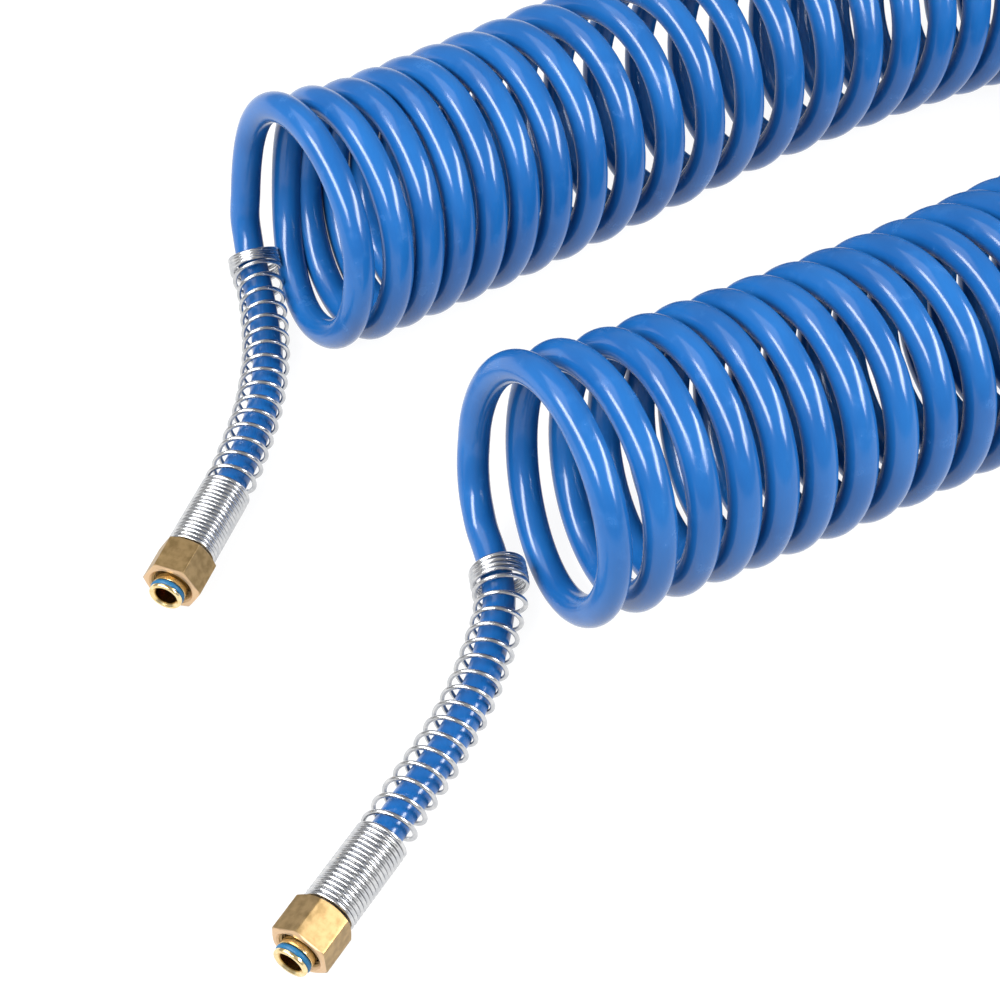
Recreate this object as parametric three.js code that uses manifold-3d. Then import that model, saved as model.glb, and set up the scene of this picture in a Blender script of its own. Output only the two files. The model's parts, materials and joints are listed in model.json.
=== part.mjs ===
// A coiled compressed-air hose, folded in two and lying on a table. Each end has a bend-guard
// spring and a swivel nut that draws a nose with an O-ring into its socket.
// Millimetres, +Z up. The table is z = 0. The two legs of the coil run along +X.
// The coil is drawn as the fat tube that its turns fill. The rest has its own shape.

import * as THREE from 'three';
import { mergeVertices } from 'three/addons/utils/BufferGeometryUtils.js';
import Module from 'manifold-3d';

const wasm = await Module();
wasm.setup();

// Driving dimensions
const hoseOd = 12;
const hoseId = 9;
const coilOd = 100;
const gap = 0.3; // air left between pieces that touch
const guardOd = 19.2;
const collarOd = 21.6;
const wire = 1.7;
const closeTurn = 1.8; // from one touching turn of the guard to the next
const nutAcrossFlats = 19.8;
const nutLength = 15.5;
const threadRadius = 7.2; // core of the nut's M16 x 1.5 thread
const mouthRadius = 8.55; // where the nut's countersink meets its face
const noseOd = 12.6;
const noseReach = 5.1; // how far the nose stands out of the nut
const noseBore = 4.1;
const stemBore = 3.5;

// Along a fitting, from the face of its nose towards the hose
const nutEnd = noseReach + nutLength;
const shoulder = nutEnd - 3.5; // the nut's inner step, which pulls on the insert's flange
const gripStart = nutEnd + gap;
const gripTurns = 18;
const gripLength = gripTurns * closeTurn;
const gripEnd = gripStart + gripLength;
const ferruleStart = nutEnd + 0.5;
const ferruleEnd = gripEnd - 3;
const hoseStart = ferruleStart + 2;
const stemEnd = hoseStart + 27;
const openTurns = 16;
const collarTurns = 4;

// The coil's axis, 50 mm above the table: arcs of [length, turn to the left in degrees]
const coilStart = { x: 76.8, y: -46.8, heading: -4.2 };
const nearLegArcs = [[81.1, 0.6], [160, 7.7], [101.8, 0.5]];
const bendArcs = [[244.4, 167.2]];
const farLegArcs = [[200, 14], [160, -5.4]];
const nearLegStart = 3; // the first turn leans back over the leg's first few millimetres
const farLegCut = 8;

// Each end: where the face of the nose is, which way the hose runs from it, and how the nut
// is rolled. The route is the middle of the hose from the last turn down to the fitting.
const ends = [
  {
    name: 'near',
    nose: [-71.7, -148.2, 11.5],
    heading: 29.6,
    nutRoll: 27,
    openPitch: 7.27,
    route: [
      [76.9, -1, 38.6], [74.1, -5.1, 28], [71.4, -11.8, 19.1], [68.8, -21.1, 13.6],
      [66.8, -31.3, 11.9], [64, -41.8, 11.2], [59.5, -51.7, 10.1], [53.2, -60.2, 9.7],
      [46, -68, 9.7], [37.5, -76.5, 9.7], [28.2, -84.8, 9.7], [18.1, -92.8, 9.9],
      [7.4, -100.3, 10.2], [-3.6, -107.5, 10.8], [-13.1, -113.6, 11.3],
    ],
  },
  {
    name: 'far',
    nose: [-45.6, 7.4, 10.1],
    heading: 41.1,
    nutRoll: 0,
    openPitch: 7.44,
    route: [
      [59.5, 158.7, 28], [58.3, 153.6, 20.5], [56.7, 147.1, 15], [54.3, 138.9, 12],
      [51.2, 129.7, 11], [47.1, 118.8, 10.1], [42.7, 108.2, 9.7], [37.6, 97.6, 9.7],
      [31.8, 87.7, 9.7], [25.4, 77.8, 9.7], [18.2, 68.4, 9.7], [10.6, 59.4, 9.8], [3.4, 51.2, 9.9],
    ],
  },
];

const finishes = {
  hose: { color: 0x1559b8, roughness: 0.25, metalness: 0 },
  seal: { color: 0x1d7fb8, roughness: 0.45, metalness: 0 },
  wire: { color: 0xc9ccd0, roughness: 0.25, metalness: 1 },
  ferrule: { color: 0xb9bcc0, roughness: 0.4, metalness: 1 },
  nut: { color: 0xb08a52, roughness: 0.35, metalness: 1 },
  insert: { color: 0xc8a055, roughness: 0.25, metalness: 1 },
};

const radians = THREE.MathUtils.degToRad;

function piece(name, geometry, finish) {
  const mesh = new THREE.Mesh(geometry, new THREE.MeshStandardMaterial(finishes[finish]));
  mesh.name = name;
  return mesh;
}

// Curves

// A level curve made of arcs that run smoothly into each other
class ArcChain extends THREE.Curve {
  constructor({ x, y, heading }, arcs, height) {
    super();
    this.height = height;
    this.pieces = [];
    this.total = 0;
    let place = new THREE.Vector2(x, y);
    let angle = radians(heading);
    for (const [length, turn] of arcs) {
      const bend = radians(turn) / length;
      this.pieces.push({ from: this.total, length, bend, place, angle });
      place = ArcChain.along(place, angle, bend, length);
      angle += bend * length;
      this.total += length;
    }
    this.end = { x: place.x, y: place.y, heading: THREE.MathUtils.radToDeg(angle) };
  }

  static along(place, angle, bend, distance) {
    const chord = distance * Math.sin(bend * distance / 2) / (bend * distance / 2 || 1);
    const way = angle + bend * distance / 2;
    return new THREE.Vector2(place.x + chord * Math.cos(way), place.y + chord * Math.sin(way));
  }

  getPoint(t) {
    const distance = t * this.total;
    const { from, bend, place, angle } = this.pieces.findLast((arc) => arc.from <= distance);
    const point = distance > from ? ArcChain.along(place, angle, bend, distance - from) : place;
    return new THREE.Vector3(point.x, point.y, this.height);
  }
}

// Part of another curve, from one fraction of its length to another
class Stretch extends THREE.Curve {
  constructor(whole, from, to) {
    super();
    Object.assign(this, { whole, from, to });
  }

  getPoint(t) {
    return this.whole.getPointAt(this.from + t * (this.to - this.from));
  }
}

// Wire wound round a curve that lies nearly level
class Winding extends THREE.Curve {
  constructor(middle, radius, turns) {
    super();
    Object.assign(this, { middle, radius, turns });
    this.arcLengthDivisions = Math.ceil(turns * 60);
  }

  getPoint(t) {
    const forward = this.middle.getTangentAt(t);
    const side = new THREE.Vector3(-forward.y, forward.x, 0).normalize();
    const over = new THREE.Vector3().crossVectors(forward, side);
    const angle = 2 * Math.PI * this.turns * t;
    return this.middle.getPointAt(t)
      .addScaledVector(side, this.radius * Math.cos(angle))
      .addScaledVector(over, this.radius * Math.sin(angle));
  }
}

// Shapes

function polygon(radius, sides, kind = THREE.Shape) {
  const outline = new kind();
  for (let i = 0; i < sides; i += 1) {
    const angle = (i + 0.5) * 2 * Math.PI / sides;
    const [x, y] = [radius * Math.cos(angle), radius * Math.sin(angle)];
    if (i === 0) outline.moveTo(x, y);
    else outline.lineTo(x, y);
  }
  outline.closePath();
  return outline;
}

function sweep(section, path, steps) {
  return new THREE.ExtrudeGeometry(section, { steps, extrudePath: path, bevelEnabled: false });
}

function tube(path, outerRadius, innerRadius, sides, steps) {
  const section = polygon(outerRadius, sides);
  section.holes.push(polygon(innerRadius, sides, THREE.Path));
  return sweep(section, path, steps);
}

// A ring turned about the X axis. Its outline is [along, radius] pairs, closed by itself.
function turned(outline, sides = 24) {
  const points = [...outline, outline[0]].map(([along, radius]) => new THREE.Vector2(radius, along));
  const ring = new THREE.LatheGeometry(points, sides);
  return ring.rotateZ(-Math.PI / 2);
}

function solid(geometry) {
  const bare = geometry.clone();
  bare.deleteAttribute('normal');
  bare.deleteAttribute('uv');
  const merged = mergeVertices(bare, 1e-4);
  return new wasm.Manifold(new wasm.Mesh({
    numProp: 3,
    vertProperties: Float32Array.from(merged.attributes.position.array),
    triVerts: Uint32Array.from(merged.index.array),
  }));
}

function geometryOf(manifold) {
  const { vertProperties, triVerts } = manifold.getMesh();
  const geometry = new THREE.BufferGeometry();
  geometry.setAttribute('position', new THREE.BufferAttribute(vertProperties, 3));
  geometry.setIndex(new THREE.BufferAttribute(triVerts, 1));
  geometry.computeVertexNormals();
  return geometry;
}

// Parts of a fitting, along +X with the face of the nose at 0

// A hexagon with both ends chamfered, bored for its thread and for the insert's neck
function swivelNut() {
  const corner = nutAcrossFlats / 2 / Math.cos(Math.PI / 6);
  const blank = new THREE.ExtrudeGeometry(polygon(corner, 6), { depth: nutLength, bevelEnabled: false })
    .rotateY(Math.PI / 2).translate(noseReach, 0, 0);
  const chamfer = turned([
    [noseReach, threadRadius - 2], [noseReach, nutAcrossFlats / 2 - 0.2], [noseReach + 1.2, corner + 0.2],
    [nutEnd - 1.2, corner + 0.2], [nutEnd, nutAcrossFlats / 2 - 0.2], [nutEnd, threadRadius - 2],
  ], 36);
  const bore = new THREE.LatheGeometry([
    [0, noseReach - 1], [mouthRadius + 1, noseReach - 1],
    [threadRadius, noseReach + mouthRadius - threadRadius],
    [threadRadius, shoulder], [5.7, shoulder], [5.7, nutEnd + 1], [0, nutEnd + 1],
  ].map(([radius, along]) => new THREE.Vector2(radius, along)), 24).rotateZ(-Math.PI / 2);
  return geometryOf(solid(blank).intersect(solid(chamfer)).subtract(solid(bore)));
}

// The insert: nose with a groove for the O-ring, flange, neck, and a barbed stem in the hose
function insert() {
  const nose = noseOd / 2;
  const stem = hoseId / 2 - 0.4;
  const barbs = [];
  for (let along = hoseStart + 4; along + 7 < stemEnd; along += 8) {
    barbs.push([along, stem - 0.4], [along, stem], [along + 5, stem - 0.4]);
  }
  return turned([
    [0, noseBore + 0.8], [0, nose - 0.5], [0.5, nose], [1.2, nose], [1.2, nose - 1.5],
    [3.6, nose - 1.5], [3.6, nose], [shoulder - 3, nose], [shoulder - 2.7, threadRadius - gap],
    [shoulder - gap, threadRadius - gap], [shoulder - gap, 5.4], [hoseStart - gap, 5.4],
    [hoseStart - gap, stem - 0.4], ...barbs, [stemEnd, stem - 0.4], [stemEnd, stemBore],
    [13.8, stemBore], [13.2, noseBore], [0.9, noseBore],
  ]);
}

// The O-ring, flattened a little on the floor of its groove
function oRing() {
  const middle = { along: 2.4, radius: noseOd / 2 - 0.5 };
  const outline = [];
  for (let i = 0; i < 6; i += 1) {
    const angle = i * Math.PI / 3;
    outline.push([middle.along - 1.05 * Math.cos(angle), middle.radius + 0.75 * Math.sin(angle)]);
  }
  return turned(outline);
}

// The sleeve crimped on the hose, with a lip at the nut's side
function ferrule() {
  const inner = hoseOd / 2 + gap;
  return turned([
    [ferruleStart, 5.8], [ferruleStart, inner + 0.8], [ferruleEnd, inner + 0.8],
    [ferruleEnd, inner], [ferruleStart + 1.5, inner], [ferruleStart + 1.5, 5.8],
  ]);
}

function guardWinding(name, middle, turns, od = guardOd) {
  const winding = new Winding(middle, (od - wire) / 2, turns);
  return piece(name, sweep(polygon(wire / 2, 4), winding, Math.ceil(turns * 8)), 'wire');
}

function hosePiece(name, path, steps) {
  return piece(name, tube(path, hoseOd / 2, hoseId / 2, 10, steps), 'hose');
}

// One end of the hose, in the part's frame
function hoseEnd({ name, nose, heading, nutRoll, openPitch, route }) {
  const end = new THREE.Group();
  const fitting = new THREE.Group();
  fitting.position.set(...nose);
  fitting.rotation.z = radians(heading);
  const nut = piece(`${name}_swivel_nut`, swivelNut(), 'nut');
  nut.rotation.x = radians(nutRoll);
  fitting.add(
    nut,
    piece(`${name}_insert`, insert(), 'insert'),
    piece(`${name}_o_ring`, oRing(), 'seal'),
    piece(`${name}_ferrule`, ferrule(), 'ferrule'),
  );

  // The middle of the hose, from the end turn of the coil to its cut end in the ferrule
  const along = new THREE.Vector3(Math.cos(radians(heading)), Math.sin(radians(heading)), 0);
  const onFitting = (distance) => new THREE.Vector3(...nose).addScaledVector(along, distance);
  const middle = new THREE.CatmullRomCurve3([
    ...route.map((point) => new THREE.Vector3(...point)),
    ...[gripEnd, gripEnd - 12, gripEnd - 24, hoseStart].map(onFitting),
  ]);
  const length = middle.getLength();
  const gripAt = (length - (gripEnd - hoseStart)) / length;
  const grip = new THREE.LineCurve3(onFitting(gripEnd), onFitting(gripStart + wire / 2));
  const collarEnd = gripAt - openTurns * openPitch / length;
  const collarStart = collarEnd - collarTurns * closeTurn / length;
  const joint = (collarStart + collarEnd) / 2;
  end.add(
    fitting,
    hosePiece(`${name}_hose_lead`, new Stretch(middle, 0, joint), 8),
    hosePiece(`${name}_hose_tail`, new Stretch(middle, joint + gap / length, 1), 20),
    guardWinding(`${name}_guard_grip`, grip, gripTurns - 0.5),
    guardWinding(
      `${name}_guard_open`,
      new Stretch(middle, collarEnd + wire / length, gripAt - (wire + gap) / length), openTurns - 0.5,
    ),
    guardWinding(
      `${name}_guard_collar`, new Stretch(middle, collarStart, collarEnd), collarTurns, collarOd,
    ),
  );
  return end;
}

// The coil, as three fat tubes face to face
function coil() {
  const height = coilOd / 2;
  const nearLeg = new ArcChain(coilStart, nearLegArcs, height);
  const bend = new ArcChain(nearLeg.end, bendArcs, height);
  const farLeg = new ArcChain(bend.end, farLegArcs, height);
  const fatTube = (name, chain, cutStart, cutEnd, steps) => {
    const path = new Stretch(chain, cutStart / chain.total, 1 - cutEnd / chain.total);
    const sides = 24;
    const outer = height / Math.cos(Math.PI / sides); // its lowest side lies on the table
    return piece(name, tube(path, outer, height - hoseOd, sides, steps), 'hose');
  };
  const group = new THREE.Group();
  group.add(
    fatTube('near_coil_leg', nearLeg, nearLegStart, gap, 6),
    fatTube('coil_bend', bend, 0, 0, 12),
    fatTube('far_coil_leg', farLeg, gap, farLegCut, 6),
  );
  return group;
}

const part = new THREE.Group();
part.add(coil(), ...ends.map(hoseEnd));

export default part;
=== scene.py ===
# %% [markdown]
# # A coiled air hose, folded in two on a table
#
# The hose is 12 mm tube wound into a springy coil. It is folded in two, so two legs lie side
# by side, joined by a bend. Each end runs out of its leg into a guard spring and a brass
# fitting. This lesson models the tube, the spring wire and the turned brass at real size, in
# metres, round a frame of plain solids that says where everything sits and what moves.

import json
import math

import bpy
import numpy as np
from mathutils import Matrix, Quaternion, Vector


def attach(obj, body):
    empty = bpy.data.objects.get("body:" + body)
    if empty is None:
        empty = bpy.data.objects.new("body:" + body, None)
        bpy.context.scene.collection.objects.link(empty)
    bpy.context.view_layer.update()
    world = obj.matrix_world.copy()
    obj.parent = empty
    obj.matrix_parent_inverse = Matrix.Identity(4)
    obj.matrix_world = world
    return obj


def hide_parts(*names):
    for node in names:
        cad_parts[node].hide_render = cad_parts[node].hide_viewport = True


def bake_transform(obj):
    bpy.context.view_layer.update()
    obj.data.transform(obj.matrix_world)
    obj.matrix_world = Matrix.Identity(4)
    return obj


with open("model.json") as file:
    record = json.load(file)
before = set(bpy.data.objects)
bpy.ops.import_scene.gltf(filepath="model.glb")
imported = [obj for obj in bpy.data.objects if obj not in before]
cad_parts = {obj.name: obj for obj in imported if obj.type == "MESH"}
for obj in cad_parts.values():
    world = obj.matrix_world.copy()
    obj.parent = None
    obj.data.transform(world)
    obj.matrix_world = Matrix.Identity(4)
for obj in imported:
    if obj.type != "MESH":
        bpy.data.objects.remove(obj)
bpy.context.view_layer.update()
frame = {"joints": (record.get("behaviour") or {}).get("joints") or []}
joints = {joint["name"]: joint for joint in frame["joints"]}
MM = 0.001

# %% [markdown]
# ## The camera
# The camera looks down on the two fittings from their left, with a long lens, so the coils
# run off to the right and keep nearly the same size along their length. A camera looks along
# its own -Z, so it is turned to track the target, then rolled a little about that line.

# %% Camera
CAMERA_PLACE = Vector((-190.7, -483.8, 638.0)) * MM
CAMERA_TARGET = Vector((86.8, -3.2, 0.0)) * MM
CAMERA_LENS = 80.3
CAMERA_ROLL = math.radians(0.66)

camera = bpy.data.objects.new("camera", bpy.data.cameras.new("camera"))
bpy.context.scene.collection.objects.link(camera)
camera.data.lens = CAMERA_LENS
camera.data.sensor_width = 36
camera.data.clip_start = 0.01
camera.location = CAMERA_PLACE
camera.rotation_mode = "QUATERNION"
aim = (CAMERA_TARGET - CAMERA_PLACE).to_track_quat("-Z", "Y")
camera.rotation_quaternion = aim @ Quaternion((0, 0, 1), CAMERA_ROLL)
bpy.context.scene.camera = camera
print("camera is", round((CAMERA_TARGET - CAMERA_PLACE).length, 3), "m from its target")

# %% [markdown]
# ## Lines that the hose follows
# A hose is a circle swept along a line, so the line comes first. There are two kinds here.
# The axis of the coil is level and made of arcs. The stretch from the last turn down to the
# fitting has no rule, so it is a short list of places, joined by a smooth curve.

# %% The coil's axis
HOSE_RADIUS = 6.0
TURN_RADIUS = 44.0  # from the coil's axis to the middle of the hose
AXIS_HEIGHT = 50.0
COIL_START = (76.8, -46.8)
COIL_HEADING = -4.2
NEAR_LEG = [(81.1, 0.6), (160, 7.7), (101.8, 0.5)]  # arcs as (length, degrees to the left)
BEND = [(244.4, 167.2)]
FAR_LEG = [(200, 14), (160, -5.4)]
AXIS_STEP = 0.25


def length_of(arcs):
    """The length of a chain of arcs."""
    return sum(length for length, turn in arcs)


axis_arcs = NEAR_LEG + BEND + FAR_LEG
axis_length = length_of(axis_arcs)
arc_ends = np.cumsum([0] + [length for length, turn in axis_arcs])
arc_headings = np.radians(COIL_HEADING + np.cumsum([0] + [turn for length, turn in axis_arcs]))
axis_at = np.arange(-120, axis_length + 120, AXIS_STEP)
axis_heading = np.interp(axis_at, arc_ends, arc_headings)


def walk(rates, start):
    """Adds up rates along the axis, and shifts the sum so that it is start at distance 0."""
    total = np.concatenate([[0], np.cumsum((rates[1:] + rates[:-1]) / 2 * AXIS_STEP)])
    return total - np.interp(0, axis_at, total) + start


axis_x = walk(np.cos(axis_heading), COIL_START[0])
axis_y = walk(np.sin(axis_heading), COIL_START[1])
print("axis:", axis_length, "mm, ends at", round(float(np.interp(axis_length, axis_at, axis_x)), 1),
      round(float(np.interp(axis_length, axis_at, axis_y)), 1))

# %% [markdown]
# ## The turns
# The turns of a coil that has been handled aren't evenly spaced. The spacing is given every
# second turn, from each free end, and the turns that go round the bend share what is left.
# They stand further apart there, because the inside of the bend has half the room. The tops
# of the turns lean towards the bend on both legs.

# %% Spacing of the turns
NEAR_SPACING = [19.6, 16.5, 14.4, 16.3, 16, 17.3, 14.3, 18.5, 17.4, 15.9]
FAR_SPACING = [15.1, 12.6, 14.3, 14.8, 18.2, 20.5, 22, 20.6, 18.8, 16.8]
BEND_SPACING = 27.0
NEAR_FIRST = 47.2  # the angle at which the first turn starts, in degrees up from the left
FAR_FIRST = 145  # and the last turn's angle at the far end
WHOLE_TURNS = 52
NEAR_LEAN, FAR_LEAN = 5.7, 8.8  # how far a turn's top leans towards the bend, in mm
SWAY = 0.8  # how far a turn's left side stands ahead, in mm

turn_count = WHOLE_TURNS + (FAR_FIRST - NEAR_FIRST) / 360
near_turns = np.arange(len(NEAR_SPACING)) * 2.0
far_turns = turn_count - np.arange(len(FAR_SPACING)) * 2.0
bend_turns = [21.3, 22.8, turn_count - 22.2, turn_count - 20.9]
bend_spacing = [16.0, BEND_SPACING, BEND_SPACING, 16.0]
knots = np.concatenate([near_turns, bend_turns, far_turns[::-1]])
spacing_at_knots = np.concatenate([NEAR_SPACING, bend_spacing, FAR_SPACING[::-1]])
turns = np.linspace(-1, turn_count + 1, 6001)
spacing = np.interp(turns, knots, spacing_at_knots)
share = np.interp(turns, bend_turns, [0, 1, 1, 0])
turn_gap = turns[1] - turns[0]


def stations(rates):
    """Distances along the axis, from 0 at turn 0."""
    total = np.concatenate([[0], np.cumsum((rates[1:] + rates[:-1]) / 2 * turn_gap)])
    return total - np.interp(0, turns, total)


missing = axis_length - np.interp(turn_count, turns, stations(spacing))
spread = np.interp(turn_count, turns, stations(share)) - np.interp(0, turns, stations(share))
spacing = spacing + share * missing / spread
station = stations(spacing)
print("turns:", round(turn_count, 2), "and round the bend", round(spacing.max(), 2), "mm apart")


# %% A point on the coil
# The first turn at each end has been pulled, so it isn't quite round. These are its shifts
# along X, Y and Z, in millimetres, at a few places on it, counted in turns from its end.
LOOSE_AT = [-0.15, 0.1, 0.35, 0.6, 0.85, 1.1, 1.4]
NEAR_LOOSE = [(0.6, 2.6, 0.8), (0.5, 2.6, 2.1), (1.3, 0.7, 0.9), (-0.6, -0.3, 0.4), (1.0, 2.1, 2.3),
              (-0.7, 0, 0.6), (0, 0, 0)]
FAR_LOOSE = [(0.6, 1.6, 0.1), (-3.8, 4.5, 2.7), (-2.1, 0.8, 0.2), (-1.0, 2.2, 0.5), (4.0, 0.4, 0.3),
             (-2.4, 1.6, 1.2), (0, 0, 0)]


def eased(at, knots, values):
    """A value at each knot, and smooth steps between them."""
    i = np.clip(np.searchsorted(knots, at) - 1, 0, len(knots) - 2)
    knots, values = np.array(knots), np.array(values)
    t = np.clip((at - knots[i]) / (knots[i + 1] - knots[i]), 0, 1)
    return values[i] + (values[i + 1] - values[i]) * t * t * (3 - 2 * t)


def coil_point(turn):
    """The middle of the hose at a turn number, in millimetres. Takes one number or many."""
    angle = np.radians(NEAR_FIRST) + 2 * np.pi * turn
    base = np.interp(turn, turns, station)
    legs = length_of(NEAR_LEG), length_of(NEAR_LEG + BEND)
    round_bend = np.clip((base - legs[0]) / (legs[1] - legs[0]), 0, 1)
    lean = (NEAR_LEAN + (FAR_LEAN - NEAR_LEAN) * round_bend) * np.cos(np.pi * round_bend)
    place = base + SWAY * np.cos(angle) + lean * np.sin(angle)
    heading = np.interp(place, axis_at, axis_heading)
    side = TURN_RADIUS * np.cos(angle)
    x = np.interp(place, axis_at, axis_x) - side * np.sin(heading)
    y = np.interp(place, axis_at, axis_y) + side * np.cos(heading)
    point = np.stack([x, y, AXIS_HEIGHT + TURN_RADIUS * np.sin(angle)], -1)
    for shifts, from_end in ((NEAR_LOOSE, turn), (FAR_LOOSE, turn_count - turn)):
        point = point + np.stack([eased(from_end, LOOSE_AT, shift) for shift in zip(*shifts)], -1)
    return point


near_start = (-15 - NEAR_FIRST) / 360
far_start = turn_count + (210 - FAR_FIRST) / 360
middle_turn = (near_start + far_start) / 2
print("coil starts at", coil_point(near_start).round(1), "and ends at", coil_point(far_start).round(1))

# %% [markdown]
# ## From the last turn to the fitting
# The places below are the middle of the hose as it leaves the last turn, drops to the table
# and lies across it to its fitting. A centripetal curve through them has no loops or kinks,
# and the last stretch is straight, because the hose sits on a stiff stem there.

# %% Routes
# Along a fitting, from the face of its nose towards the hose
NUT_START, NUT_END = 5.1, 20.6
SHOULDER = 17.1
GRIP_START, GRIP_END = 20.9, 53.3
FERRULE_START, FERRULE_END = 21.1, 50.3
HOSE_CUT = 23.1
WIRE = 1.75
CLOSE_TURN = 1.8  # from one turn of the wire to the next, where they nearly touch
GUARD_RADIUS = 9.6
COLLAR_RADIUS = 10.8
OPEN_TURNS = 16
COLLAR_TURNS = 4

ENDS = {
    "near": {
        "open_turn": 7.27,
        "nut_roll": 27,
        "route": [
            (76.9, -1, 38.6), (74.1, -5.1, 28), (71.4, -11.8, 19.1), (68.8, -21.1, 13.6),
            (66.8, -31.3, 11.9), (64, -41.8, 11.2), (59.5, -51.7, 10.1), (53.2, -60.2, 9.7),
            (46, -68, 9.7), (37.5, -76.5, 9.7), (28.2, -84.8, 9.7), (18.1, -92.8, 9.9),
            (7.4, -100.3, 10.2), (-3.6, -107.5, 10.8), (-13.1, -113.6, 11.3),
        ],
    },
    "far": {
        "open_turn": 7.44,
        "nut_roll": 0,
        "route": [
            (59.5, 158.7, 28), (58.3, 153.6, 20.5), (56.7, 147.1, 15), (54.3, 138.9, 12),
            (51.2, 129.7, 11), (47.1, 118.8, 10.1), (42.7, 108.2, 9.7), (37.6, 97.6, 9.7),
            (31.8, 87.7, 9.7), (25.4, 77.8, 9.7), (18.2, 68.4, 9.7), (10.6, 59.4, 9.8),
            (3.4, 51.2, 9.9),
        ],
    },
}
STEPS_PER_SPAN = 24


def smooth_line(places):
    """A centripetal Catmull-Rom curve through places, sampled between each pair of them."""
    places = np.array(places, float)
    first = 2 * places[0] - places[1]
    last = 2 * places[-1] - places[-2]
    places = np.vstack([first, places, last])
    line = []
    for i in range(1, len(places) - 2):
        a, b, c, d = places[i - 1:i + 3]
        ab, bc, cd = (math.sqrt(np.linalg.norm(q - p)) for p, q in ((a, b), (b, c), (c, d)))
        leave = ((b - a) / ab - (c - a) / (ab + bc) + (c - b) / bc) * bc
        arrive = ((c - b) / bc - (d - b) / (bc + cd) + (d - c) / cd) * bc
        for t in np.arange(STEPS_PER_SPAN) / STEPS_PER_SPAN:
            line.append((2 * t**3 - 3 * t**2 + 1) * b + (t**3 - 2 * t**2 + t) * leave
                        + (3 * t**2 - 2 * t**3) * c + (t**3 - t**2) * arrive)
    return np.array(line + [places[-2]])


def distances(line):
    """How far along a line each of its points is."""
    return np.concatenate([[0], np.cumsum(np.linalg.norm(np.diff(line, axis=0), axis=1))])


def along(line, where):
    """The points of a line at the given distances along it."""
    passed = distances(line)
    return np.stack([np.interp(where, passed, line[:, i]) for i in range(3)], -1)


def evenly(line, gap):
    """The same line with its points about gap apart."""
    total = distances(line)[-1]
    return along(line, np.linspace(0, total, max(2, round(total / gap) + 1)))


# %% The middle line of each end
OVERLAP = 10 / 360  # the curve borrows this much of a turn, so that it leaves the coil smoothly

for name, end in ENDS.items():
    spin = joints[name + "_nut_spin"]
    end["nose"] = np.array(spin["pos_m"]) / MM
    end["way"] = np.array(spin["axis"])
    start, onward = (near_start, OVERLAP) if name == "near" else (far_start, -OVERLAP)
    end["coil_turn"] = start + onward
    borrowed = [coil_point(start + 2 * onward), coil_point(start + onward)]
    stem = [end["nose"] + end["way"] * at for at in (GRIP_END, GRIP_END - 12, GRIP_END - 24, HOSE_CUT)]
    line = smooth_line(borrowed + end["route"] + stem)[STEPS_PER_SPAN:]
    total = distances(line)[-1]
    end["line"] = line
    end["grip_at"] = total - (GRIP_END - HOSE_CUT)
    end["collar_end"] = end["grip_at"] - OPEN_TURNS * end["open_turn"]
    end["collar_start"] = end["collar_end"] - COLLAR_TURNS * CLOSE_TURN
    end["cut"] = (end["collar_start"] + end["collar_end"]) / 2
    end["total"] = total
    print(name, "line:", round(total, 1), "mm, collar at", round(end["collar_start"], 1))

# %% [markdown]
# ## The hose inside its spring
# The hose is thinner than the spring round it, so it doesn't stay in the middle. Between the
# collar and the fitting it lies on the lower wires and against one side, and in the collar it
# leans to the other side.

# %% The hose off the spring's middle
# Six places along the spring, evenly apart, from the collar to the grip
ASIDE = {"near": [-0.8, -0.2, 1.3, 1.1, 0.5, 0], "far": [-1.2, -0.4, 0.6, 1.3, 0.8, 0]}
SAG = [0, 1.2, 1.2, 1.2, 1.2, 0]
FADE = 25  # the length before the collar over which the hose moves aside


def off_middle(name, line):
    """Moves the part of a line that lies in the spring sideways and down, in millimetres."""
    end = ENDS[name]
    ahead = np.gradient(line, axis=0)
    right = np.stack([-ahead[:, 1], ahead[:, 0], 0 * ahead[:, 0]], -1)
    right = right / np.linalg.norm(right, axis=1)[:, None]
    at = distances(line)
    spring = np.linspace(end["collar_start"], end["grip_at"], len(ASIDE[name]))
    aside = np.interp(at, spring, ASIDE[name], left=0)
    fade = np.clip((at - end["collar_start"] + FADE) / FADE, 0, 1)
    aside = np.where(at < end["collar_start"], ASIDE[name][0] * fade, aside)
    low = np.interp(at, spring, SAG)
    return line + right * aside[:, None] - np.array([0, 0, 1]) * low[:, None]


for name, end in ENDS.items():
    end["hose_line"] = off_middle(name, end["line"])

# %% [markdown]
# ## Sweeping a tube along a line
# Each ring of the tube stands square to the line. To stop the tube from twisting, each ring
# takes the side direction of the ring before it and only tips it to the new direction. Long
# tubes like these are made straight from numbers, since every ring is the same simple rule.
# A UV map goes round the tube in U and along it, in tube widths, in V.


# %% Tube maker
TUBE_SMOOTH_BELOW = math.radians(50)  # a sharper edge between two faces stays sharp


def unit(vectors):
    """The same directions, one long."""
    return vectors / np.linalg.norm(vectors, axis=-1, keepdims=True)


def ring_sides(line, first_side):
    """For each point of a line, two directions square to it that don't twist along it."""
    ahead = unit(np.gradient(line, axis=0))
    side = unit(first_side - ahead[0] * (first_side @ ahead[0]))
    sides = []
    for forward in ahead:
        side = side - forward * (side @ forward)
        side = side / math.sqrt(side @ side)
        sides.append(side)
    sides = np.array(sides)
    return sides, np.cross(ahead, sides)


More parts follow.
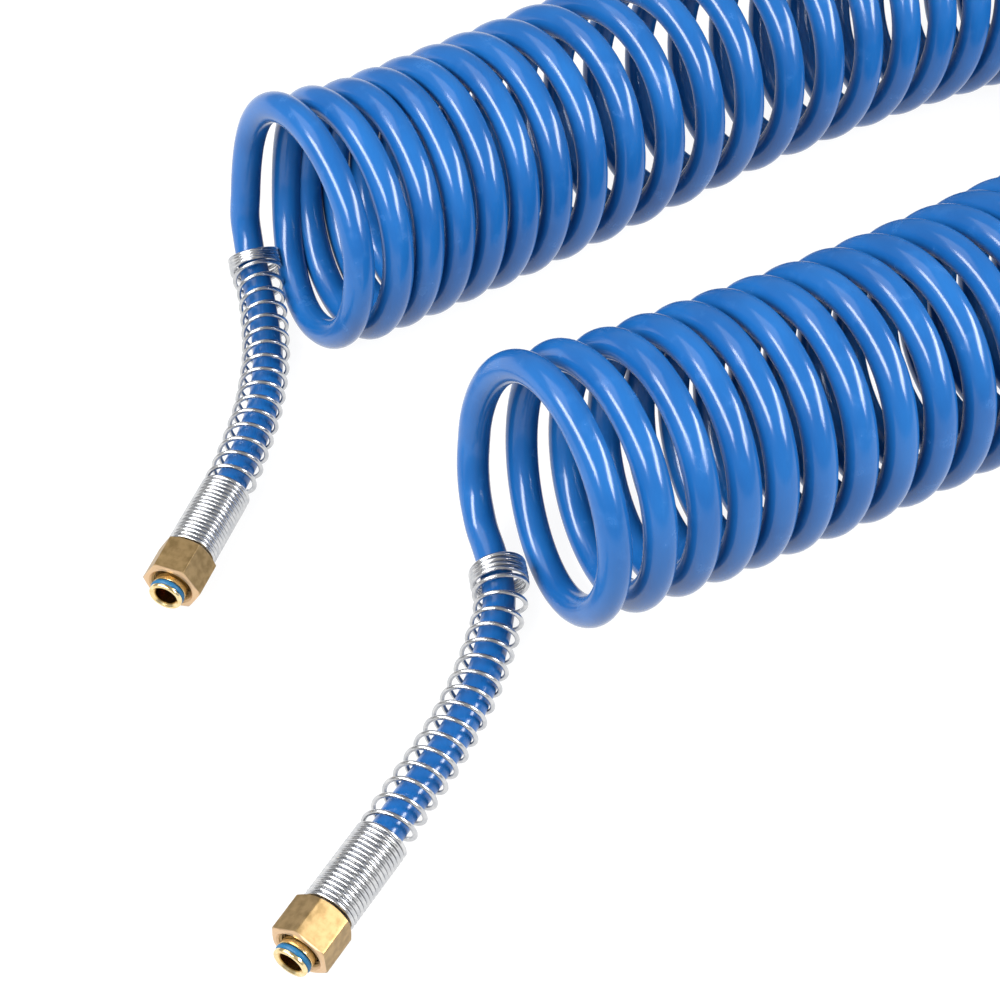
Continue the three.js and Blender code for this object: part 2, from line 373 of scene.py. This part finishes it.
def make_tube(name, line, radius, around, first_side=(0.0, 0.0, 1.0)):
    """A closed tube of a radius along a line of points, all in millimetres."""
    sides, overs = ring_sides(line, np.array(first_side, float))
    angles = np.arange(around) * 2 * math.pi / around
    rings = (line[:, None] + radius * np.cos(angles)[None, :, None] * sides[:, None]
             + radius * np.sin(angles)[None, :, None] * overs[:, None])
    count = len(line)
    faces = []
    for start in range(0, (count - 1) * around, around):
        for j in range(around):
            k = (j + 1) % around
            faces.append((start + j, start + k, start + around + k, start + around + j))
    faces.append(tuple(range(around))[::-1])
    faces.append(tuple(range((count - 1) * around, count * around)))
    mesh = bpy.data.meshes.new(name)
    mesh.from_pydata((rings.reshape(-1, 3) * MM).tolist(), [], faces)
    down = distances(line) / (2 * radius)
    corners = np.zeros((len(mesh.loops), 2), np.float32)
    walls = (count - 1) * around
    j = np.tile(np.arange(around), count - 1)
    i = np.repeat(np.arange(count - 1), around)
    u = np.stack([j, j + 1, j + 1, j], -1) / around
    v = np.stack([down[i], down[i], down[i + 1], down[i + 1]], -1)
    corners[:walls * 4] = np.stack([u, v], -1).reshape(-1, 2)
    layer = mesh.uv_layers.new(name="along_tube")
    layer.data.foreach_set("uv", corners.ravel())
    tube = bpy.data.objects.new(name, mesh)
    bpy.context.scene.collection.objects.link(tube)
    pick_only(tube)
    bpy.ops.object.shade_smooth_by_angle(angle=TUBE_SMOOTH_BELOW)
    return tube


def pick_only(thing):
    """Makes one object the only one selected, and the active one."""
    bpy.ops.object.select_all(action="DESELECT")
    thing.select_set(True)
    bpy.context.view_layer.objects.active = thing


def past_collar(end, at):
    """0 in a guard spring's collar, 1 in its grip, and a smooth rise along its open turns."""
    t = np.clip((at - end["collar_end"]) / (end["grip_at"] - end["collar_end"]), 0, 1)
    return t * t * (3 - 2 * t)


# %% [markdown]
# ## The hose
# It is one tube from fitting to fitting. It is made here in four lengths that meet end to
# end: two tails inside the guard springs, and two halves of the coil that meet halfway round
# the bend.

# %% Coil halves
AROUND = 24
RING_GAP = 2.9  # 95 rings for each turn
PLACES_PER_TURN = 240
PLACES_PER_END = 200

hoses = {}
for name, end in ENDS.items():
    places = int(abs(end["coil_turn"] - middle_turn) * PLACES_PER_TURN)
    coil_turns = np.linspace(middle_turn, end["coil_turn"], places)
    free = along(end["hose_line"], np.linspace(0, end["cut"], PLACES_PER_END))
    whole = np.vstack([coil_point(coil_turns), free[1:]])
    line = evenly(whole, RING_GAP)
    hose = make_tube(name + "_coil_hose", line, HOSE_RADIUS, AROUND)
    passed = distances(line)
    leg = NEAR_LEG if name == "near" else FAR_LEG
    leg_length = length_of(leg)
    leg_turn = np.interp(leg_length if name == "near" else axis_length - leg_length, station, turns)
    bend_run = abs(leg_turn - middle_turn) * 2 * math.pi * TURN_RADIUS
    free_from = passed[-1] - distances(free)[-1]
    shares = (passed - bend_run) / (free_from - bend_run)
    name + "_lead"
    line[0] * MM
    line[-1] * MM
    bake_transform(hose)
    nodes = [name + "_hose_lead", name + "_coil_leg"] + (["coil_bend"] if name == "near" else [])
    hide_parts(*nodes)
    hoses[name] = hose
    end["coil_line"] = line
    print(name, "coil half:", round(passed[-1] / 1000, 3), "m,", len(line), "rings")

# %% Tails, inside the guard springs
TAIL_RING_GAP = 2.0
PLACES_PER_TAIL = 300

for name, end in ENDS.items():
    inside = along(end["hose_line"], np.linspace(end["cut"], end["total"], PLACES_PER_TAIL))
    line = evenly(inside, TAIL_RING_GAP)
    tail = make_tube(name + "_tail_hose", line, HOSE_RADIUS, AROUND)
    at = np.linspace(end["cut"], end["total"], len(line))
    name + "_lead"
    name + "_end"
    line[0] * MM
    line[-1] * MM
    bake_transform(tail)
    past_collar(end, at)
    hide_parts(name + "_hose_tail")
    end["tail"] = tail
    end["tail_line"] = line
    print(name, "tail:", round(distances(line)[-1], 1), "mm")

# %% [markdown]
# ## The guard springs
# A guard spring stops the hose from kinking where it leaves the fitting. It is one wire: close
# turns gripping the ferrule, open turns that let it bend, and a few close turns to finish.
# The wire is wound round the same middle line as the hose, so both bend alike.

# %% Guard wire
WIRE_STEPS = 40  # rings for each turn
WIRE_AROUND = 12
WIRE_PLACES = 4000
FLARE = 12  # the length over which the collar narrows to the guard's own radius

for name, end in ENDS.items():
    middle = np.vstack([end["line"], end["nose"] + end["way"] * (GRIP_START + WIRE / 2)])
    wire_end = distances(middle)[-1]
    marks = [end["collar_start"], end["collar_end"], end["grip_at"], wire_end]
    wound = np.cumsum([0, COLLAR_TURNS, OPEN_TURNS, (wire_end - end["grip_at"]) / CLOSE_TURN])
    at = np.linspace(marks[0], marks[-1], WIRE_PLACES)
    turned = np.interp(at, marks, wound)
    count = round(turned[-1] * WIRE_STEPS)
    at = np.interp(np.linspace(0, turned[-1], count), turned, at)
    spun = np.interp(at, marks, wound) * 2 * math.pi
    centre = along(middle, at)
    ahead = unit(np.gradient(centre, axis=0))
    side = unit(np.stack([-ahead[:, 1], ahead[:, 0], 0 * ahead[:, 0]], -1))
    over = np.cross(ahead, side)
    narrowing = [end["collar_end"], end["collar_end"] + FLARE]
    reach = (np.interp(at, narrowing, [COLLAR_RADIUS, GUARD_RADIUS]) - WIRE / 2)[:, None]
    line = centre + reach * (np.cos(spun)[:, None] * side + np.sin(spun)[:, None] * over)
    guard = make_tube(name + "_guard_spring", line, WIRE / 2, WIRE_AROUND, side[0])
    name + "_lead"
    name + "_end"
    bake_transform(guard)
    past_collar(end, at)
    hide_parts(name + "_guard_collar", name + "_guard_open", name + "_guard_grip")
    end["guard"] = guard
    print(name, "guard:", round(turned[-1], 1), "turns of wire")

# %% [markdown]
# ## The hose's points in metres
# The four lengths are free hose. For each end, the last point and all the points of its coil
# half and of its tail are taken in metres.

# %% Cords
for name, end in ENDS.items():
    coil_line, tail_line = end["coil_line"], end["tail_line"]
    tuple(coil_line[-1] * MM)
    (coil_line * MM).tolist()
    tuple(tail_line[-1] * MM)
    (tail_line * MM).tolist()

# %% [markdown]
# ## Turned pieces of the fitting
# The insert, the O-ring and the ferrule are round, so each is an outline spun about the
# fitting's axis, as a lathe cuts it. The outline starts as one point, and is extruded from
# corner to corner. All pieces are modelled along X, with the face of the nose at zero, and
# are set in place at the end. Their places before that are kept as an attribute, on_part,
# so that tool marks follow each piece.

# %% Drawing and spinning an outline
WELD = 0.0005 * MM  # corners nearer than this are one corner
FITTING_STEPS = 96
FITTING_SMOOTH_BELOW = math.radians(28)


def drawn(name, outline):
    """An object that is only a chain of edges through (along, radius) pairs in millimetres."""
    bpy.ops.object.select_all(action="DESELECT")
    bpy.ops.mesh.primitive_plane_add(size=1 * MM, location=(0, 0, 0))
    piece = bpy.context.object
    piece.name = piece.data.name = name
    bpy.ops.object.mode_set(mode="EDIT")
    bpy.ops.mesh.select_all(action="SELECT")
    bpy.ops.mesh.merge(type="CENTER")
    bpy.ops.transform.translate(value=(outline[0][0] * MM, outline[0][1] * MM, 0))
    for (x0, r0), (x1, r1) in zip(outline, outline[1:]):
        move = ((x1 - x0) * MM, (r1 - r0) * MM, 0)
        bpy.ops.mesh.extrude_vertices_move(TRANSFORM_OT_translate={"value": move})
    bpy.ops.object.mode_set(mode="OBJECT")
    return piece


def spun_ring(name, outline):
    """A closed ring: an outline round a section, spun once about the X axis."""
    ring = drawn(name, outline + outline[:1])
    bpy.ops.object.mode_set(mode="EDIT")
    bpy.ops.mesh.select_all(action="SELECT")
    bpy.ops.mesh.remove_doubles(threshold=WELD)
    bpy.ops.mesh.spin(steps=FITTING_STEPS, angle=2 * math.pi, center=(0, 0, 0), axis=(1, 0, 0))
    bpy.ops.mesh.select_all(action="SELECT")
    bpy.ops.mesh.remove_doubles(threshold=WELD)
    bpy.ops.mesh.normals_make_consistent(inside=False)
    bpy.ops.object.mode_set(mode="OBJECT")
    bpy.ops.object.shade_smooth_by_angle(angle=FITTING_SMOOTH_BELOW)
    return ring


# %% Insert
NOSE = 6.3
THREAD_CORE = 7.2
BARB, STEM = 4.1, 3.7

stem_end = HOSE_CUT + 27
barbs = []
for start in (HOSE_CUT + 4, HOSE_CUT + 12):
    barbs += [(start, STEM), (start, BARB), (start + 5, STEM)]
insert = spun_ring("near_brass_insert", [
    (0, 5.1), (0, 5.8), (0.1, 6.0), (0.3, 6.2), (0.6, NOSE), (1.2, NOSE), (1.2, 4.8), (3.6, 4.8),
    (3.6, NOSE - 0.1), (3.7, NOSE), (SHOULDER - 3, NOSE), (SHOULDER - 2.7, 6.9),
    (SHOULDER - 0.3, 6.9), (SHOULDER - 0.3, 5.4), (HOSE_CUT - 0.3, 5.4), (HOSE_CUT - 0.3, STEM),
    *barbs, (stem_end, STEM), (stem_end, 3.5), (13.8, 3.5), (13.2, 4.1), (0.9, 4.1),
])
print("insert:", len(insert.data.polygons), "faces")

# %% O-ring
RING_ALONG, RING_OUT = 2.4, 5.8  # the middle of its section
RING_HALF_WIDTH, RING_HALF_HEIGHT = 1.05, 0.78
SECTION_STEPS = 20

ring_section = []
for i in range(SECTION_STEPS):
    angle = 2 * math.pi * i / SECTION_STEPS
    place = RING_ALONG - RING_HALF_WIDTH * math.cos(angle)
    ring_section.append((place, RING_OUT + RING_HALF_HEIGHT * math.sin(angle)))
o_ring = spun_ring("near_seal_ring", ring_section)
print("o-ring:", len(o_ring.data.polygons), "faces")

# %% Ferrule
FERRULE = 7.1
CRIMPED = FERRULE - 0.25
CRIMP_GAP = 4.6

crimps = []
for i in range(5):
    start = FERRULE_START + 5 + CRIMP_GAP * i
    crimps += [(start, FERRULE), (start + 0.4, CRIMPED), (start + 2.2, CRIMPED), (start + 2.6, FERRULE)]
ferrule = spun_ring("near_crimped_ferrule", [
    (FERRULE_START, 5.8), (FERRULE_START, FERRULE - 0.2), (FERRULE_START + 0.2, FERRULE), *crimps,
    (FERRULE_END - 0.3, FERRULE), (FERRULE_END, FERRULE - 0.3), (FERRULE_END, 6.3),
    (FERRULE_START + 1.5, 6.3), (FERRULE_START + 1.5, 5.8),
])
print("ferrule:", len(ferrule.data.polygons), "faces")

# %% [markdown]
# ## The swivel nut
# The nut starts as a hexagon bar. Its long edges are broken a little, a turned blank takes
# its corners off at both ends, and a bolt with a real M16 thread is cut out of it. The thread
# is the outline of one pitch, carried round and along by a Screw modifier.

# %% Nut blank
ACROSS_FLATS = 19.8
NUT_CORNER = ACROSS_FLATS / 2 / math.cos(math.pi / 6)
NUT_MIDDLE = (NUT_START + NUT_END) / 2


def cut(piece, tool, operation):
    """Cuts a piece with a tool, or keeps only what both share, and clears the tool away."""
    change = piece.modifiers.new("cut", "BOOLEAN")
    change.operation = operation
    change.solver = "EXACT"
    change.object = tool
    pick_only(piece)
    bpy.ops.object.modifier_apply(modifier="cut")
    bpy.data.objects.remove(tool)


bpy.ops.object.select_all(action="DESELECT")
bpy.ops.mesh.primitive_cylinder_add(vertices=6, radius=NUT_CORNER * MM, depth=(NUT_END - NUT_START) * MM,
                                    location=(NUT_MIDDLE * MM, 0, 0), rotation=(0, math.pi / 2, 0))
nut = bpy.context.object
nut.name = nut.data.name = "near_brass_nut"
bpy.ops.object.transform_apply(location=True, rotation=True, scale=True)
for edge in nut.data.edges:
    first, second = [nut.data.vertices[i].co.x for i in edge.vertices]
    edge.select = abs(first - second) > 5 * MM
for face in nut.data.polygons:
    face.select = False
bpy.ops.object.mode_set(mode="EDIT")
bpy.ops.mesh.select_mode(type="EDGE")
bpy.ops.mesh.bevel(offset=0.25 * MM, segments=3)
bpy.ops.mesh.select_mode(type="VERT")
bpy.ops.object.mode_set(mode="OBJECT")
print("nut bar:", len(nut.data.polygons), "faces")

# %% Chamfers and thread
PITCH = 1.5
MOUTH = 8.55
THREAD_FOOT, THREAD_TOP = 7.19, 8.0  # the bolt's thread, whose top cuts the nut's deepest line

blank = spun_ring("blank", [
    (NUT_START, 2), (NUT_START, ACROSS_FLATS / 2 - 0.25), (NUT_START + 0.12, ACROSS_FLATS / 2 - 0.1),
    (NUT_START + 1.1, NUT_CORNER + 0.3), (NUT_END - 1.1, NUT_CORNER + 0.3),
    (NUT_END - 0.12, ACROSS_FLATS / 2 - 0.1), (NUT_END, ACROSS_FLATS / 2 - 0.25), (NUT_END, 2),
])
cut(nut, blank, "INTERSECT")
bore = spun_ring("bore", [
    (NUT_START - 1, 1), (NUT_START - 1, MOUTH + 1), (NUT_START + MOUTH - THREAD_CORE, THREAD_CORE),
    (SHOULDER, THREAD_CORE), (SHOULDER, 5.7), (NUT_END + 1, 5.7), (NUT_END + 1, 1),
])
cut(nut, bore, "DIFFERENCE")
bolt = drawn("bolt", [
    (NUT_START - 3, THREAD_FOOT), (NUT_START - 2.62, THREAD_FOOT), (NUT_START - 2.15, THREAD_TOP),
    (NUT_START - 1.96, THREAD_TOP), (NUT_START - 1.5, THREAD_FOOT),
])
winding = bolt.modifiers.new("thread", "SCREW")
winding.axis = "X"
winding.screw_offset = PITCH * MM
winding.iterations = 11
winding.steps = winding.render_steps = 64
winding.use_merge_vertices = False
pick_only(bolt)
bpy.ops.object.modifier_apply(modifier="thread")
bpy.ops.object.mode_set(mode="EDIT")
bpy.ops.mesh.select_all(action="SELECT")
bpy.ops.mesh.remove_doubles(threshold=WELD)
for place, cleared in ((NUT_START - 0.5, "clear_inner"), (SHOULDER - 3.5, "clear_outer")):
    bpy.ops.mesh.bisect(plane_co=(place * MM, 0, 0), plane_no=(1, 0, 0), use_fill=True, **{cleared: True})
    bpy.ops.mesh.select_all(action="SELECT")
bpy.ops.mesh.normals_make_consistent(inside=False)
bpy.ops.object.mode_set(mode="OBJECT")
print("bolt:", len(bolt.data.polygons), "faces")
cut(nut, bolt, "DIFFERENCE")
pick_only(nut)
bpy.ops.object.shade_smooth_by_angle(angle=FITTING_SMOOTH_BELOW)
print("nut:", len(nut.data.polygons), "faces")

# %% Setting both fittings in place
def set_in_place(piece, name, roll):
    """Keeps a piece's places as on_part, then moves its mesh to one end of the hose."""
    spots = np.zeros(len(piece.data.vertices) * 3, np.float32)
    piece.data.vertices.foreach_get("co", spots)
    piece.data.attributes.new("on_part", "FLOAT_VECTOR", "POINT").data.foreach_set("vector", spots / MM)
    nose, way = ENDS[name]["nose"], ENDS[name]["way"]
    turn = Matrix.Rotation(math.atan2(way[1], way[0]), 4, "Z") @ Matrix.Rotation(roll, 4, "X")
    piece.matrix_world = Matrix.Translation(Vector(nose * MM)) @ turn
    pick_only(piece)
    bpy.ops.object.transform_apply(location=True, rotation=True, scale=True)


SLOTS = {"brass_insert": ("insert", "end", "insert"), "seal_ring": ("o_ring", "end", "seal"),
         "crimped_ferrule": ("ferrule", "end", "ferrule"), "brass_nut": ("swivel_nut", "nut", "nut")}
fittings = {}
for first in (insert, o_ring, ferrule, nut):
    kind = first.name.removeprefix("near_")
    node, body, slot = SLOTS[kind]
    second = first.copy()
    second.data = first.data.copy()
    second.name = second.data.name = "far_" + kind
    bpy.context.scene.collection.objects.link(second)
    for name, piece in (("near", first), ("far", second)):
        set_in_place(piece, name, math.radians(ENDS[name]["nut_roll"]) if kind == "brass_nut" else 0)
        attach(piece, name + "_" + body)
        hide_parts(name + "_" + node)
        fittings[name, kind] = piece
print("fittings:", len(fittings), "pieces")

# %% [markdown]
# ## Shader maths
# A material is a tree of nodes. To keep the trees readable, this small class stands for one
# socket, and adding or multiplying two of them adds the Math node that does it. Every other
# kind of node comes from its one method, node.


# %% The Paint class
class Paint:
    """One socket of a material, so that shader maths reads as plain expressions."""

    def __init__(self, tree, socket=None):
        self.tree = tree
        self.socket = socket

    def node(self, kind, settings=None, values=None, out=0):
        """Adds a node: its settings first, then the values or links of its sockets."""
        made = self.tree.nodes.new("ShaderNode" + kind)
        for setting, value in (settings or {}).items():
            if setting == "stops":
                while len(made.color_ramp.elements) < len(value):
                    made.color_ramp.elements.new(1)
                for stop, (at, colour) in zip(made.color_ramp.elements, value):
                    stop.position = at
                    stop.color = colour
            else:
                setattr(made, setting, value)
        for place, value in (values or {}).items():
            if isinstance(value, Paint):
                self.tree.links.new(value.socket, made.inputs[place])
            else:
                made.inputs[place].default_value = value
        return Paint(self.tree, made.outputs[out])

    def maths(self, operation, a, b=0):
        """One Math node, for an operation that has no sign of its own."""
        return self.node("Math", {"operation": operation}, {0: a, 1: b})

    def __add__(self, other):
        return self.maths("ADD", self, other)

    __radd__ = __add__

    def __mul__(self, other):
        return self.maths("MULTIPLY", self, other)

    __rmul__ = __mul__

    def __sub__(self, other):
        return self.maths("SUBTRACT", self, other)

    def __rsub__(self, other):
        return self.maths("SUBTRACT", other, self)


def noise(paint, where, scale, detail=3, out=0):
    """Noise from 0 to 1 at a place."""
    return paint.node("TexNoise", None, {"Vector": where, "Scale": scale, "Detail": detail}, out)


def part_over(paint, value, low, high):
    """0 where a value is below low, 1 above high, and a smooth rise between."""
    return paint.node("MapRange", {"interpolation_type": "SMOOTHSTEP"}, {0: value, 1: low, 2: high}, 0)


def blended(paint, share, one, other):
    """A colour between two colours."""
    return paint.node("Mix", {"data_type": "RGBA"}, {0: share, 6: one, 7: other}, 2)


def new_finish(name, **fixed):
    """A material, its Paint, and its shader node, with the values that are the same all over."""
    finish = bpy.data.materials.new(name)
    finish.use_nodes = True
    shader = finish.node_tree.nodes["Principled BSDF"]
    for socket, value in fixed.items():
        shader.inputs[socket.replace("_", " ")].default_value = value
    return finish, Paint(finish.node_tree), shader


def wire_up(paint, shader, **links):
    """Links what varies over the surface to the shader's sockets."""
    for socket, value in links.items():
        paint.tree.links.new(value.socket, shader.inputs[socket.replace("_", " ")])


# %% [markdown]
# ## Blue hose
# The hose is polyurethane, squeezed out of a round die: smooth and glossy, with very faint
# lines along its length from the die, and here and there a duller patch from handling. The
# pattern is placed by the tube's own UV map, turned into places on a straight tube one unit
# wide, so it has no seam and follows the hose wherever it bends.

# %% Hose material
def on_tube(paint):
    """Across, over and along a straight tube one unit wide, from its UV map."""
    apart = paint.node("SeparateXYZ", None, {0: paint.node("UVMap", {"uv_map": "along_tube"})})
    along_tube = Paint(paint.tree, apart.socket.node.outputs[1])
    turn = apart * (2 * math.pi)
    return paint.maths("COSINE", turn) * 0.5, paint.maths("SINE", turn) * 0.5, along_tube


def place_of(paint, x, y, z):
    """A place put together from three numbers."""
    return paint.node("CombineXYZ", None, {0: x, 1: y, 2: z})


hose_finish, paint, shader = new_finish("hose_blue", Specular_IOR_Level=0.45)
across, over, down = on_tube(paint)
spot = place_of(paint, across, over, down)
die_lines = noise(paint, place_of(paint, across, over, down * 0.02), 14, 4)
cloud = noise(paint, spot, 0.35, 3)
handled = part_over(paint, noise(paint, spot, 1.6, 5), 0.56, 0.72)
cloudy = part_over(paint, cloud, 0.3, 0.7)
colour = blended(paint, cloudy, (0.006, 0.075, 0.255, 1), (0.009, 0.097, 0.31, 1))
colour = blended(paint, handled * 0.25, colour, (0.03, 0.14, 0.38, 1))
roughness = 0.15 + die_lines * 0.07 + handled * 0.1
relief = die_lines * 0.7 + noise(paint, spot, 22, 2) * 0.3
bump = paint.node("Bump", None, {"Strength": 0.25, "Distance": 0.05 * MM, "Height": relief})
wire_up(paint, shader, Base_Color=colour, Roughness=roughness, Normal=bump)

# %% [markdown]
# ## Spring wire
# The guard springs are hard-drawn steel wire with a bright zinc coat. Drawing leaves fine
# lines along the wire, and the zinc is a little cloudy.

# %% Wire material
wire_finish, paint, shader = new_finish("zinc_wire", Metallic=1.0)
across, over, down = on_tube(paint)
drawn_lines = noise(paint, place_of(paint, across, over, down * 0.03), 9, 4)
cloud = noise(paint, place_of(paint, across, over, down), 0.5, 4)
colour = blended(paint, part_over(paint, cloud, 0.35, 0.7), (0.52, 0.53, 0.55, 1), (0.66, 0.66, 0.66, 1))
roughness = 0.14 + drawn_lines * 0.12 + cloud * 0.1
bump = paint.node("Bump", None, {"Strength": 0.3, "Distance": 0.02 * MM, "Height": drawn_lines})
wire_up(paint, shader, Base_Color=colour, Roughness=roughness, Normal=bump)

# %% [markdown]
# ## Brass
# The nut is milled hexagon bar, left as it came, so its flats are a dull bronze-brown brass
# with fine drawing lines, and its chamfers, cut last, are brighter. The insert is turned, so
# it is bright yellow with tool rings round it, and its bore is coloured dark brown, a painted
# shade. Both read on_part, the place on the piece.

# %% Nut material
def on_part(paint):
    """The place on a fitting's piece in millimetres, whole and as its three numbers."""
    spot = paint.node("Attribute", {"attribute_name": "on_part"}, None, "Vector")
    apart = paint.node("SeparateXYZ", None, {0: spot})
    return spot, *[Paint(paint.tree, number) for number in apart.socket.node.outputs]


nut_finish, paint, shader = new_finish("nut_brass", Metallic=1.0)
spot, x, y, z = on_part(paint)
bar_lines = noise(paint, place_of(paint, x * 0.05, y, z), 5, 5)
tarnish = noise(paint, spot, 0.35, 5)
dull = blended(paint, part_over(paint, tarnish, 0.3, 0.7), (0.3, 0.2, 0.085, 1), (0.44, 0.3, 0.14, 1))
chamfer = part_over(paint, x, NUT_START + 0.9, NUT_START + 0.5)
colour = blended(paint, chamfer, dull, (0.72, 0.5, 0.3, 1))
roughness = 0.3 + bar_lines * 0.12 + tarnish * 0.12
bump = paint.node("Bump", None, {"Strength": 0.35, "Distance": 0.03 * MM, "Height": bar_lines})
wire_up(paint, shader, Base_Color=colour, Roughness=roughness, Normal=bump)

# %% Insert material
insert_finish, paint, shader = new_finish("insert_brass", Metallic=1.0)
spot, x, y, z = on_part(paint)
from_axis = paint.maths("SQRT", y * y + z * z)
rings = noise(paint, place_of(paint, x * 6, from_axis * 6, 0), 1, 2)
cloud = noise(paint, spot, 0.5, 3)
# Painted shade: inside the bore, nearer the axis than 4.6 mm, the brass is coloured dark brown.
painted_bore_shade = part_over(paint, from_axis, 4.6, 4.2)
bright = blended(paint, part_over(paint, cloud, 0.3, 0.7), (0.8, 0.6, 0.28, 1), (0.9, 0.74, 0.42, 1))
colour = blended(paint, painted_bore_shade, bright, (0.42, 0.24, 0.06, 1))
roughness = 0.16 + rings * 0.14
bump = paint.node("Bump", None, {"Strength": 0.3, "Distance": 0.02 * MM, "Height": rings})
wire_up(paint, shader, Base_Color=colour, Roughness=roughness, Normal=bump)

# %% [markdown]
# ## Seal and ferrule
# The O-ring is moulded rubber, matt, with a faint parting line round its outside. The ferrule
# is plated steel, hardly seen behind the wire that grips it.

# %% Seal and ferrule materials
seal_finish, paint, shader = new_finish("seal_rubber", Specular_IOR_Level=0.4)
spot, x, y, z = on_part(paint)
grain = noise(paint, spot, 6, 3)
grainy = part_over(paint, grain, 0.3, 0.7)
colour = blended(paint, grainy, (0.002, 0.07, 0.17, 1), (0.006, 0.12, 0.26, 1))
roughness = 0.36 + grain * 0.15
parting = part_over(paint, paint.maths("ABSOLUTE", x - RING_ALONG), 0.08, 0.03)
relief = grain * 0.4 + parting
bump = paint.node("Bump", None, {"Strength": 0.4, "Distance": 0.04 * MM, "Height": relief})
wire_up(paint, shader, Base_Color=colour, Roughness=roughness, Normal=bump)

ferrule_finish, paint, shader = new_finish("ferrule_steel", Metallic=1.0)
spot, x, y, z = on_part(paint)
cloud = noise(paint, spot, 0.6, 4)
colour = blended(paint, part_over(paint, cloud, 0.35, 0.65), (0.36, 0.36, 0.38, 1), (0.5, 0.5, 0.5, 1))
roughness = 0.3 + cloud * 0.2
press_marks = noise(paint, place_of(paint, x * 3, y * 0.3, z * 0.3), 1, 3)
bump = paint.node("Bump", None, {"Strength": 0.3, "Distance": 0.05 * MM, "Height": press_marks})
wire_up(paint, shader, Base_Color=colour, Roughness=roughness, Normal=bump)

# %% Giving out the materials
for name, end in ENDS.items():
    worn = {hoses[name]: hose_finish, end["tail"]: hose_finish, end["guard"]: wire_finish,
            fittings[name, "brass_nut"]: nut_finish, fittings[name, "brass_insert"]: insert_finish,
            fittings[name, "seal_ring"]: seal_finish, fittings[name, "crimped_ferrule"]: ferrule_finish}
    for piece, finish in worn.items():
        piece.data.materials.clear()
        piece.data.materials.append(finish)
print("materials:", len(bpy.data.materials))

# %% [markdown]
# ## Floor and light
# A white table in a white room, as for a catalogue. The table glows a little, as a light
# table does, so shadows stay faint. Two long narrow light bars, one on each side, give the
# hose its pair of sharp highlights, and a soft light overhead fills in.

# %% Floor and room
TABLE_SHADE = 0.12
TABLE_GLOW = 0.93
ROOM_LIGHT = 0.35

scene = bpy.context.scene
scene.view_settings.view_transform = "Standard"
bpy.ops.object.select_all(action="DESELECT")
bpy.ops.mesh.primitive_plane_add(size=8, location=(0, 0, 0))
floor = bpy.context.object
floor.name = "floor"
floor_finish, paint, shader = new_finish("floor_white", Roughness=0.9, Specular_IOR_Level=0.0)
shader.inputs["Base Color"].default_value = (TABLE_SHADE, TABLE_SHADE, TABLE_SHADE, 1)
shader.inputs["Emission Color"].default_value = (1, 1, 1, 1)
shader.inputs["Emission Strength"].default_value = TABLE_GLOW
floor.data.materials.append(floor_finish)
world = bpy.data.worlds.new("studio")
scene.world = world
world.use_nodes = True
background = world.node_tree.nodes["Background"]
background.inputs["Color"].default_value = (1, 1, 1, 1)
background.inputs["Strength"].default_value = ROOM_LIGHT
print("room light:", ROOM_LIGHT)

# %% Lights
LIT = Vector((0.1, -0.06, 0.08))  # the place that every light faces, in metres


def soft_light(name, place, length, width, power):
    """A rectangular light at a place in metres, facing the coil, with its length level."""
    lamp = bpy.data.lights.new(name, "AREA")
    lamp.shape = "RECTANGLE"
    lamp.size, lamp.size_y = length, width
    lamp.energy = power
    light = bpy.data.objects.new(name, lamp)
    bpy.context.scene.collection.objects.link(light)
    light.location = place
    light.rotation_mode = "QUATERNION"
    light.rotation_quaternion = (LIT - Vector(place)).to_track_quat("-Z", "Y")
    return light


soft_light("bar_left", (-0.8, -0.07, 0.92), 1.4, 0.34, 30)
soft_light("bar_right", (0.9, -0.63, 0.72), 1.1, 0.3, 21)
soft_light("overhead", (-0.5, 0.9, 1.6), 1.2, 1.2, 9)
print("lights:", len(bpy.data.lights))
